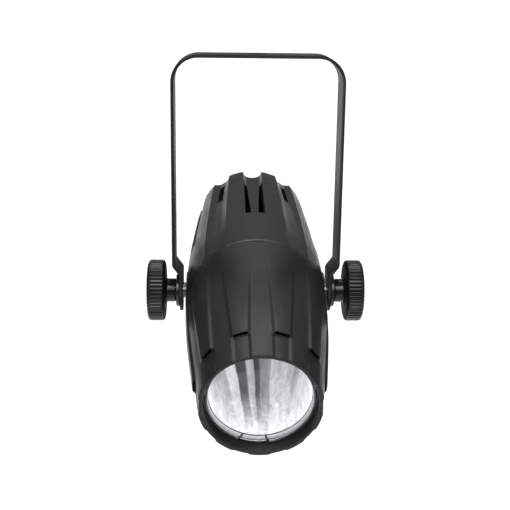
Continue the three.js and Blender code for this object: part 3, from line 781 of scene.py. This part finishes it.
REAR_SKIN = [
    (HEAD_REAR, 28.9),
    (-78.6, 29.2),
    (-72, 30.1),
    (-64, 30.9),
    (-50, 32.1),
    (-35, 33.3),
    (-20, 34.2),
    (-5, 34.7),
    (SEAM_REAR, 34.7),
]
SEAM_CHAMFER = 0.45
CHANNELS = 5
CHANNEL_FRONT = -20.0
CHANNEL_FLOOR = [(HEAD_REAR, 24.6), (CHANNEL_FRONT, 31.2)]
CHANNEL_SLOT = {"outer": 4.6, "rear_width": 1.2, "front_width": 3.0, "rear": -63, "front": -21}
SLOT_FLOOR, SLOT_TOP = 20, 36  # radii that the slots run between
TRUNNION = {"pad": 9.3, "face": 34.4}
VALLEY_DEPTH = [(HEAD_REAR, 2.3), (SEAM_REAR, 0.35)]
VALLEY_SLOT = {"width": 3.2, "rear": -71, "front": -50}
# Degrees from a channel's middle, share of the valley's depth, up to the valley's middle.
VALLEY_COLUMNS = [
    (14, 0.0),
    (18, 0.0),
    (22, 0.0),
    (25.0, 0.0),
    (25.35, -0.07),
    (25.75, -0.1),
    (26.1, 0.0),
    (26.5, 0.14),
    (27.6, 0.36),
    (29.2, 0.64),
    (30.8, 0.86),
    (32, 0.96),
    (33, 1.0),
    (36, 1.0),
]
# Across half a channel: millimetres from its middle, share of the climb to the skin.
CHANNEL_COLUMNS = [
    (0.0, 0.0),
    (1.2, 0.02),
    (2.2, 0.07),
    (3.1, 0.17),
    (3.8, 0.3),
    (4.3, 0.46),
    (4.6, 0.6),
    (4.8, 0.74),
    (4.92, 0.86),
    (5.05, 0.95),
    (5.25, 0.99),
    (5.6, 1.0),
]


def rear_rows():
    rows = [HEAD_REAR + d for d in (0.0, 0.06, 0.2, 0.45, 0.8, 1.4)]
    rows += [blend(HEAD_REAR + 3, CHANNEL_FRONT - 1.2, i / 24) for i in range(25)]
    rows += [CHANNEL_FRONT + d for d in (-0.6, -0.3, -0.12, 0.0, 0.12, 0.3, 0.6)]
    rows += [blend(CHANNEL_FRONT + 2, SEAM_REAR - 1.6, i / 14) for i in range(15)]
    rows += [SEAM_REAR - d for d in (0.9, SEAM_CHAMFER + 0.04, SEAM_CHAMFER, 0.0)]
    return rows


def climb(station):
    """0 in a channel and 1 ahead of its front wall."""
    wall = [(-0.6, 0.0), (-0.3, 0.06), (-0.12, 0.25), (0.12, 0.75), (0.3, 0.94), (0.6, 1.0)]
    return table(wall, station - CHANNEL_FRONT)


def rear_shell():
    rows = rear_rows()
    cover = stations("rear_cover")
    outer = [(table(REAR_SKIN, s), s) for s in rows]
    inner = [
        (32.3, SEAM_REAR),
        (31.6, -8),
        (28.6, CHANNEL_FRONT),
        (23, -72),
        (23, -73.5),
        (17, -73.5),
        (17, cover[1] + 0.3),
        (23, cover[1] + 0.3),
        (23, HEAD_REAR + 0.5),
        (23.15, HEAD_REAR + 0.15),
        (23.5, HEAD_REAR),
    ]
    profile = outer + inner
    pitch = 360 / CHANNELS
    half = [("channel", *c) for c in CHANNEL_COLUMNS] + [("skin", *c) for c in VALLEY_COLUMNS]
    columns = []
    for channel in range(CHANNELS):
        centre = channel * pitch
        columns += [(centre, 1, *c) for c in half]
        mirror = [c for c in reversed(half[1:-1])]
        columns += [(centre + pitch, -1, *c) for c in mirror]

    def warp(i, j, _angle, radius, station):
        centre, sign, kind, offset, share = columns[i]
        if j >= len(outer):
            angle = offset if kind == "skin" else math.degrees(math.asin(offset / 34.7))
            return math.radians(centre + sign * angle), radius, station
        radius -= edge_drop(station, HEAD_REAR, SEAM_REAR, 0.9) if station < 0 else 0
        radius -= max(0.0, SEAM_CHAMFER - (SEAM_REAR - station))
        if kind == "skin":
            fall = table(VALLEY_DEPTH, station)
            return math.radians(centre + sign * offset), radius - share * fall, station
        roof = math.sqrt(radius * radius - offset * offset)
        floor = min(table(CHANNEL_FLOOR, station), roof)
        height = blend(floor, roof, max(share, climb(station)))
        angle = math.atan2(offset, height)
        return math.radians(centre) + sign * angle, math.hypot(offset, height), station

    piece = to_object("rear_shell_moulding", revolve(profile, len(columns), warp), HEAD)
    pads = []
    for side in SIDES.values():
        pad, face = TRUNNION["pad"], TRUNNION["face"]
        local = HEAD.inverted() @ side_axes(side)
        verts, faces = revolve(soften([(0, 26), (pad, 26), (pad, face, 0.4), (0, face)], 0, 3, False), 64)
        pads.append(([tuple(local @ Vector(v)) for v in verts], faces))
    carve(piece, together(pads), HEAD, "UNION")
    tools = []
    for channel in range(CHANNELS):
        for side in SIDES.values():
            tools.append(turned(channel_slot(side), channel * pitch))
        tools.append(turned(valley_slot(), (channel + 0.5) * pitch))
    carve(piece, together(tools), HEAD)
    finish_piece(piece, MATERIALS["black_shell_plastic"], "head", ["rear_shell"], 32)


def channel_slot(side):
    """A slot beside a channel's wall that narrows to the rear."""
    size = CHANNEL_SLOT
    outer = side * size["outer"]
    front, rear = size["front"], size["rear"]
    corners = [
        (outer, rear),
        (outer, front),
        (outer - side * size["front_width"], front),
        (outer - side * size["rear_width"], rear),
    ]
    return prism(soften(corners, 0.4, 4), SLOT_FLOOR, SLOT_TOP)


def valley_slot():
    half = VALLEY_SLOT["width"] / 2
    front, rear = VALLEY_SLOT["front"], VALLEY_SLOT["rear"]
    corners = [(-half, rear), (half, rear), (half, front), (-half, front)]
    return prism(soften(corners, 0.6, 4), SLOT_FLOOR, SLOT_TOP)


# ---------------------------------------------------------------- rear cover and cord gland


def screw_head(radius, height, way=-1):
    """A pan head, seated at station 0 and rising along `way`."""
    crown = [(0, height), (radius * 0.45, height * 0.97), (radius * 0.8, height * 0.8)]
    crown += [(radius, height * 0.42), (radius, 0), (0, 0)]
    head = [(r, way * z) for r, z in crown]
    return revolve(head, 40)


def cross(arm, width, depth, top):
    """Two crossed bars for a screw's recess."""
    outline = []
    for quarter in range(4):
        turn = Matrix.Rotation(quarter * math.pi / 2, 2)
        for spot in ((width, width), (width, arm), (-width, arm)):
            outline.append(tuple(turn @ Vector(spot)))
    return prism(outline, top - depth, top + depth, "xy")


def rear_cover():
    low, high = reach("rear_cover", HEAD)
    edge = soften([(0, low.z), (high.x, low.z, 0.5), (high.x, high.z, 0.3), (0, high.z)], 0, 4, False)
    piece = to_object("rear_cover_plate", revolve(edge, 96), HEAD)
    rib = soften([(15.4, low.z - 0.4), (16.6, low.z - 0.4), (16.6, low.z + 0.4), (15.4, low.z + 0.4)], 0.3, 3)
    groove = revolve(rib, 96)
    bore = revolve([(0, low.z - 1), (6.25, low.z - 1), (6.25, high.z + 1), (0, high.z + 1)], 48)
    wells = []
    for i in range(4):
        points = [v.co for v in NODES[f"rear_cover_screw_{i + 1}"].data.vertices]
        spot = HEAD.inverted() @ (sum(points, Vector()) / len(points))
        well = revolve([(0, low.z - 1), (1.6, low.z - 1), (1.6, high.z + 1), (0, high.z + 1)], 24)
        wells.append(moved(well, spot.x, spot.y))
    carve(piece, together([groove, bore, *wells]), HEAD)
    finish_piece(piece, MATERIALS["black_shell_plastic"], "head", ["rear_cover"], 32)


def rear_cover_screws():
    for i in range(4):
        name = f"rear_cover_screw_{i + 1}"
        low, high = reach(name, HEAD)
        x, y = (low.x + high.x) / 2, (low.y + high.y) / 2
        seat = low.z + 1.8
        shank = revolve([(0, seat), (1.0, seat), (1.0, high.z - 1.4), (0, high.z)], 20)
        head = moved(screw_head((high.x - low.x) / 2, 1.8), z=seat)
        piece = to_object(name + "_pan_head", moved(head, x, y), HEAD)
        recess = turned(cross(1.25, 0.24, 0.9, low.z), 20 + 40 * i)
        carve(piece, moved(recess, x, y), HEAD)
        carve(piece, moved(shank, x, y, 0.0), HEAD, "UNION")
        finish_piece(piece, MATERIALS["black_steel"], "head", [name], 30)


GLAND_BORE = 4.0


def gland():
    low, high = reach("gland_body", HEAD)
    cap_low, cap_high = reach("gland_cap", HEAD)
    cover_face = stations("rear_cover")[0]
    hexagon = [(8.2 * math.sin(k * math.pi / 3), 8.2 * math.cos(k * math.pi / 3)) for k in range(6)]
    flange = prism(hexagon, low.z + 4, cover_face - 0.3, "xy")
    piece = to_object("gland_body_hex", flange, HEAD)
    ease_edges(piece, 0.5, 3)
    neck = [(GLAND_BORE, low.z), (5.6, low.z, 0.3), (5.6, low.z + 4.2), (GLAND_BORE, low.z + 4.2)]
    stem = [(GLAND_BORE, low.z + 4.5), (6.0, low.z + 4.5), (6.0, high.z, 0.4), (GLAND_BORE, high.z)]
    carve(piece, revolve(soften(neck, 0.1, 2), 48), HEAD, "UNION")
    bore = [(0, low.z - 1), (GLAND_BORE, low.z - 1), (GLAND_BORE, high.z + 1), (0, high.z + 1)]
    carve(piece, revolve(bore, 48), HEAD)
    carve(piece, revolve(soften(stem, 0.1, 2), 48), HEAD, "UNION")
    finish_piece(piece, MATERIALS["black_gland_plastic"], "head", ["gland_body"], 32)
    ridges = 24
    steps = 8
    dome = [
        (GLAND_BORE, cap_low.z + 0.3),
        (GLAND_BORE + 0.3, cap_low.z),
        (4.6, cap_low.z),
        (5.7, cap_low.z + 0.5),
        (6.6, cap_low.z + 1.6),
        (7.1, cap_low.z + 2.8),
        (7.5, cap_low.z + 4.2),
        (7.6, cap_low.z + 4.8),
        (7.6, cap_high.z - 0.5),
        (7.35, cap_high.z),
        (5.9, cap_high.z),
        (5.9, cap_low.z + 2),
        (GLAND_BORE, cap_low.z + 2),
    ]

    def warp(i, j, angle, radius, station):
        if 5 <= j <= 9:
            wave = 0.5 - 0.5 * math.cos(2 * math.pi * i / steps)
            radius -= 0.45 * wave**2
        return angle, radius, station

    shape = revolve(dome, ridges * steps, warp)
    build("gland_cap_nut", shape, HEAD, MATERIALS["black_gland_plastic"], "head", ["gland_cap"], 32)
    low, high = reach("gland_seal", HEAD)
    seal = [HEAD.inverted() @ v.co for v in NODES["gland_seal"].data.vertices]
    bore = min(math.hypot(v.x, v.y) for v in seal)
    ring = [(high.x, low.z), (high.x, high.z), (bore, high.z), (bore, low.z + 0.4)]
    shape = revolve(soften(ring, 0.3), 64)
    build("gland_seal_ring", shape, HEAD, MATERIALS["rubber"], "head", ["gland_seal"])


# ---------------------------------------------------------------- lens and optics


LENS = {"edge": 2.2, "bulge": 3.0}


def lens():
    high = reach("lens", HEAD)[1]
    radius, front, back = high.x, high.z, high.z - LENS["edge"]
    profile = [(0, back - LENS["bulge"])]
    steps = 20
    for i in range(1, steps + 1):
        t = i / steps
        profile.append(((radius - 1) * t, back - LENS["bulge"] * (1 - t * t)))
    profile += [(radius - 0.2, back + 0.02), (radius, back + 0.2), (radius, front - 0.3)]
    profile += [(radius - 0.3, front), (radius * 0.6, front), (radius * 0.3, front), (0, front)]
    build("lens_glass", revolve(profile, 128), HEAD, MATERIALS["clear_lens"], "head", ["lens"], 25)


CLIP_TURN = 7  # degrees that the clip's gap sits to one side of the bottom


def lens_clip():
    low, high = reach("lens_clip", HEAD)
    wire = (high.z - low.z) / 2
    radius, station = high.x - wire, (low.z + high.z) / 2
    gap = math.radians(18)
    path = []
    hook = [(0.86, 0.055), (0.905, 0.05), (0.955, 0.035), (0.985, 0.015)]
    for share, lean in hook:
        angle = math.pi - gap + lean
        path.append((radius * share * math.sin(angle), radius * share * math.cos(angle), station))
    steps = 120
    for i in range(steps + 1):
        angle = math.pi - gap - (2 * math.pi - 2 * gap) * i / steps
        path.append((radius * math.sin(angle), radius * math.cos(angle), station))
    for share, lean in reversed(hook):
        angle = math.pi + gap - lean
        path.append((radius * share * math.sin(angle), radius * share * math.cos(angle), station))
    shape = turned(tube(path, wire, 14), CLIP_TURN)
    build("lens_clip_wire", shape, HEAD, MATERIALS["clip_steel"], "head", ["lens_clip"], 60)


def lens_gasket():
    low, high = reach("lens_gasket", HEAD)
    inside = 22.6
    lips = [(high.x, low.z), (high.x, high.z), (inside + 0.3, high.z), (inside, high.z - 0.5)]
    shape = revolve(soften([*lips, (inside, low.z)], 0.25), 96)
    build("lens_gasket_ring", shape, HEAD, MATERIALS["milky_silicone"], "head", ["lens_gasket"])


REFLECTOR = {"rear": 34.0, "throat": 6.5, "mouth": 21.4, "skin": 0.9}


def reflector():
    """A bright bowl pressed with long flutes that run with the beam."""
    low, high = reach("reflector", HEAD)
    floor, rim = REFLECTOR["rear"], high.z
    throat, mouth, skin = REFLECTOR["throat"], REFLECTOR["mouth"], REFLECTOR["skin"]
    flare = [(mouth + 0.7, rim), (mouth + 0.3, rim - 0.5)]
    steps = 28
    inside = []
    for i in range(steps + 1):
        t = i / steps
        inside.append((blend(throat, mouth, math.sqrt(t)), blend(floor, rim, t)))
    outside = [(r + skin, z) for r, z in inside[2:]]
    skirt = [(11.3, floor), (11.3, low.z), (12.5, low.z), (12.5, floor + 3)]
    profile = skirt + outside + flare + inside[-2::-1]
    flutes, per = 18, 12
    first_inside = len(skirt) + len(outside)

    def warp(i, j, angle, radius, station):
        if j >= first_inside:
            across = (i % per) / per - 0.5
            radius -= 0.16 * (1 - 4 * across * across) * smoothstep((station - floor) / 8)
        return angle, radius, station

    shape = revolve(profile, flutes * per, warp)
    piece = build("reflector_bowl", shape, HEAD, MATERIALS["bright_reflector"], "head", ["reflector"], 30)
    piece.data.materials.append(MATERIALS["reflector_back"])
    for face in piece.data.polygons:
        out = face.center - PIVOT
        out -= BEAM * out.dot(BEAM)
        face.material_index = 1 if face.normal.dot(out.normalized()) > 0.5 else 0


# ---------------------------------------------------------------- knobs, washers, spacers


def knob(name, side):
    """A knurled clamp knob: ridges between a smooth shoulder and a chamfered face."""
    place = side_axes(side)
    low, high = reach("knob_" + name, place)
    boss_low, face, radius = low.z, high.z, high.y
    rim = face - 9.0  # where the rim's inner face is
    shoulder = 1.9
    boss = 5.9
    profile = [
        (0, boss_low + 0.6),
        (3.1, boss_low + 0.6),
        (3.2, boss_low + 0.1),
        (3.5, boss_low),
        (boss - 0.5, boss_low),
        (boss - 0.15, boss_low + 0.15),
        (boss, boss_low + 0.5),
        (boss, rim - 1.2),
        (boss + 0.15, rim - 0.6),
        (boss + 0.5, rim - 0.2),
        (boss + 1.1, rim),
        (radius - shoulder - 0.5, rim),
        (radius - shoulder, rim + 0.08),
        (radius - 1.1, rim + 0.3),
        (radius - 0.45, rim + 0.65),
        (radius - 0.15, rim + 1.0),
    ]
    ridged_from = len(profile)
    band = [(0.0, 1.2), (0.0, 1.4), (0.0, 1.8), (0.0, 3.0), (0.0, 4.5), (0.0, 6.0), (0.0, 7.3)]
    profile += [(radius + r, rim + z) for r, z in band]
    ridged_to = len(profile)
    profile += [
        (radius - 0.25, rim + 7.9),
        (radius - 0.8, rim + 8.4),
        (radius - 1.6, rim + 8.8),
        (radius - 2.4, face - 0.02),
        (radius - 2.9, face),
        (radius - 3.6, face - 0.1),
        (radius - 4.0, face - 0.55),
        (radius - 4.4, face - 0.75),
        (5.6, face - 0.8),
        (5.1, face - 0.7),
        (4.8, face - 0.4),
        (4.4, face - 0.3),
        (0, face - 0.25),
    ]
    ridges, per = 48, 10
    fade = {ridged_from: 0.15, ridged_from + 1: 0.6, ridged_to - 1: 1.0, ridged_to: 0.85, ridged_to + 1: 0.5}

    def warp(i, j, angle, away, along):
        share = fade.get(j, 1.0 if ridged_from < j < ridged_to else 0.0)
        across = abs((i % per) / per - 0.5) * 2
        groove = smoothstep((across - 0.45) / 0.55)
        return angle, away - 0.55 * share * groove, along

    shape = revolve(profile, ridges * per, warp)
    grip, body = f"knob_{name}_grip", f"{name}_knob"
    piece = build(grip, shape, place, MATERIALS["black_knob_plastic"], body, ["knob_" + name], 34)
    piece.data.materials.append(MATERIALS["knob_shaded_plastic"])
    # Faces turned toward the head take the darker, duller copy: painted shade where the knob faces the arm.
    for patch in piece.data.polygons:
        patch.material_index = 1 if patch.normal.x * side < -0.6 else 0


def washer(name, side):
    place = side_axes(side)
    low, high = reach("washer_" + name, place)
    bore = 3.3
    ring = [(bore, low.z), (high.y, low.z), (high.y, high.z), (bore, high.z)]
    shape = revolve(soften(ring, 0.35, 4), 96)
    build(f"washer_{name}_ring", shape, place, MATERIALS["black_steel"], f"{name}_washer", ["washer_" + name])


def spacer(name, side):
    place = side_axes(side)
    low, high = reach("spacer_" + name, place)
    ring = [(3.3, low.z), (high.y, low.z), (high.y, high.z), (3.3, high.z)]
    shape = revolve(soften(ring, 0.25, 3), 72)
    build(f"spacer_{name}_sleeve", shape, place, MATERIALS["dull_steel"], "head", ["spacer_" + name])


# ---------------------------------------------------------------- yoke


YOKE = {
    "thick": 1.5,
    "corner": 13,
    "foot": 37.6,  # out to the foot's outer face
    "jog_top": 15,  # above the tilt axis
    "jog_bottom": 10.2,
    "jog_radius": 3,
    "below": 14,  # further below the axis than the rounded foot reaches
}


def yoke():
    """Flat strip bent to a U, with jogs down to the feet and rounded feet."""
    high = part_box("yoke_bracket")[1]
    half, width = high.x / MM, high.y / MM
    pivot = PIVOT.z / MM
    thick, foot = YOKE["thick"], YOKE["foot"]

    def edge(inset):
        x, y = half - inset, -inset
        corner = YOKE["corner"] - inset
        points = [(-x, y, corner), (x, y, corner)]
        points.append((x, pivot + YOKE["jog_top"], YOKE["jog_radius"]))
        points.append((foot - inset, pivot + YOKE["jog_bottom"], YOKE["jog_radius"]))
        points.append((foot - inset, pivot - YOKE["below"], 0))
        return points

    def arm(points):
        outline = []
        for point, before, after in zip(points[1:-1], points, points[2:]):
            here = Vector(point[:2])
            a, b = Vector(before[:2]) - here, Vector(after[:2]) - here
            turn = math.pi - a.angle(b)
            cut = point[2] * math.tan(turn / 2)
            start, end = here + a.normalized() * cut, here + b.normalized() * cut
            centre = here + (a.normalized() + b.normalized()).normalized() * point[2] / math.cos(turn / 2)
            steps = max(4, round(turn / math.radians(3.75)))
            first, last = start - centre, end - centre
            for k in range(steps + 1):
                outline.append(tuple(centre + first.slerp(last, k / steps) * point[2]))
        outline.append(points[-1][:2])
        return outline

    outside, inside = arm(edge(0)), arm(edge(thick))
    outline = outside + inside[::-1] + [(-x, z) for x, z in inside] + [(-x, z) for x, z in outside[::-1]]
    piece = to_object("yoke_strip", prism(outline, -width, width), FRAME)
    side = [(-width, 2), (-width, pivot)]
    steps = 48
    for k in range(1, steps):
        angle = math.pi + math.pi * k / steps
        side.append((width * math.cos(angle), pivot + width * math.sin(angle)))
    side += [(width, pivot), (width, 2)]
    carve(piece, prism(side, -half - 2, half + 2, "yz"), FRAME, "INTERSECT")
    pin = revolve([(0, -60), (3.3, -60), (3.3, 60), (0, 60)], 48)
    bolt = revolve([(0, -6), (4.25, -6), (4.25, 6), (0, 6)], 48)
    carve(piece, pin, side_axes(1))
    carve(piece, bolt, FRAME)
    ease_edges(piece, 0.28, 3)
    finish_piece(piece, MATERIALS["yoke_paint"], "yoke", ["yoke_bracket"], 30)


# ---------------------------------------------------------------- studio


def studio_floor():
    """A wide pale sweep below and behind the light, no higher than the camera sees."""
    drop = cad_box[0].z - 0.45
    depth, rise, width = 3.0, 0.82, 0.9
    start, bend = 1.2, 0.6
    outline = [(-depth, drop), (start, drop)]
    for k in range(1, 13):
        angle = k / 12 * math.pi / 2
        outline.append((start + bend * math.sin(angle), drop + bend * (1 - math.cos(angle))))
    outline.append((start + bend, drop + rise))
    build_mesh = bmesh.new()
    rows = [[build_mesh.verts.new((x, y, z)) for y, z in outline] for x in (-width, width)]
    for k in range(len(outline) - 1):
        build_mesh.faces.new([rows[0][k], rows[1][k], rows[1][k + 1], rows[0][k + 1]])
    mesh = bpy.data.meshes.new("studio_floor")
    build_mesh.to_mesh(mesh)
    build_mesh.free()
    mesh.shade_smooth()
    floor = bpy.data.objects.new("studio_floor", mesh)
    bpy.context.scene.collection.objects.link(floor)
    material, tree, shader = new_tree("studio_paper")
    fibres = noise(tree, place_vector(tree), 260, 4, 0.6)
    paper = ramp(tree, fibres, [(0.3, (0.9, 0.9, 0.9)), (0.7, (0.93, 0.93, 0.93))])
    set_shader(tree, shader, Base_Color=paper, Roughness=1.0)
    shader.inputs["Specular IOR Level"].default_value = 0.0
    # Painted light: the paper glows faintly in front and brighter towards the back, a pool of light standing in
    # for a lamp on the backdrop.
    behind = node(tree, "SeparateXYZ", {"Vector": place_vector(tree)}).outputs["Y"]
    painted_backdrop_light = spread(tree, behind, 0.12, 0.8, (-0.3, 0.45))
    set_shader(tree, shader, Emission_Color=paper, Emission_Strength=painted_backdrop_light)
    mesh.materials.append(material)


def softbox(name, spot, target, size, power):
    data = bpy.data.lights.new(name, "AREA")
    data.shape = "RECTANGLE"
    data.size, data.size_y = size
    data.energy = power
    light = bpy.data.objects.new(name, data)
    light.location = PIVOT + Vector(spot)
    away = light.location - (PIVOT + Vector(target))
    light.rotation_mode = "QUATERNION"
    light.rotation_quaternion = away.to_track_quat("Z", "Y")
    bpy.context.scene.collection.objects.link(light)


# Brightness of the room from straight down (0) through the horizon (0.5) to straight up.
SKY = [(0.0, 0.35), (0.38, 0.25), (0.46, 0.08), (0.57, 0.08), (0.66, 0.2), (0.78, 0.34), (1.0, 0.34)]


def studio_world():
    """A dim room: the paper below is bright, the walls and ceiling are grey."""
    world = bpy.data.worlds.new("studio_world")
    world.use_nodes = True
    bpy.context.scene.world = world
    tree = world.node_tree
    tree.nodes.clear()
    output = tree.nodes.new("ShaderNodeOutputWorld")
    ray = node(tree, "TexCoord").outputs["Generated"]
    height = node(tree, "SeparateXYZ", {"Vector": ray}).outputs["Z"]
    wall = ramp(
        tree,
        spread(tree, height, 0.0, 1.0, (-1.0, 1.0)),
        [(at, (tone, tone, tone)) for at, tone in SKY],
    )
    back = node(tree, "Background", {"Color": wall, "Strength": 1.0})
    tree.links.new(back.outputs["Background"], output.inputs["Surface"])


CAMERA = {
    "aim": Vector((-0.00023, 0.0, 0.01835)),  # from the tilt axis
    "azimuth": 2.0,
    "elevation": 14.97,
    "roll": 0.735,
    "distance": 0.486,
    "lens": 68.6,
}


def camera():
    data = bpy.data.cameras.new("camera")
    data.sensor_width = 36.0
    data.lens = CAMERA["lens"]
    data.clip_start, data.clip_end = 0.01, 20.0
    made = bpy.data.objects.new("camera", data)
    turn, lift = math.radians(CAMERA["azimuth"]), math.radians(CAMERA["elevation"])
    back = Vector((-math.sin(turn) * math.cos(lift), -math.cos(turn) * math.cos(lift), math.sin(lift)))
    right = (-back).cross(Vector((0, 0, 1))).normalized()
    up = right.cross(-back)
    roll = math.radians(CAMERA["roll"])
    side = right * math.cos(roll) + up * math.sin(roll)
    top = up * math.cos(roll) - right * math.sin(roll)
    turned_to = Matrix((side, top, back)).transposed().to_4x4()
    spot = PIVOT + CAMERA["aim"] + back * CAMERA["distance"]
    made.matrix_world = Matrix.Translation(spot) @ turned_to
    bpy.context.scene.collection.objects.link(made)
    bpy.context.scene.camera = made


# ---------------------------------------------------------------- everything together

for name, part in NODES.items():
    part.data.materials.clear()
    part.data.materials.append(MATERIALS[SLOT_OF[name]])

yoke()
front_shell()
rear_shell()
rear_cover()
rear_cover_screws()
gland()
lens()
lens_clip()
lens_gasket()
reflector()
for label, direction in SIDES.items():
    knob(label, direction)
    washer(label, direction)
    spacer(label, direction)

studio_floor()
studio_world()
softbox("key_light", (-0.05, -0.6, 0.6), (0, 0, 0), (0.45, 0.3), 1.6)
softbox("front_light", (0.0, -0.85, 0.75), (0, 0, 0), (1.4, 0.9), 6.0)
softbox("top_light", (0.0, 0.28, 0.8), (0, 0, 0), (0.75, 0.4), 1.7)
camera()
bpy.context.scene.view_settings.view_transform = "Standard"
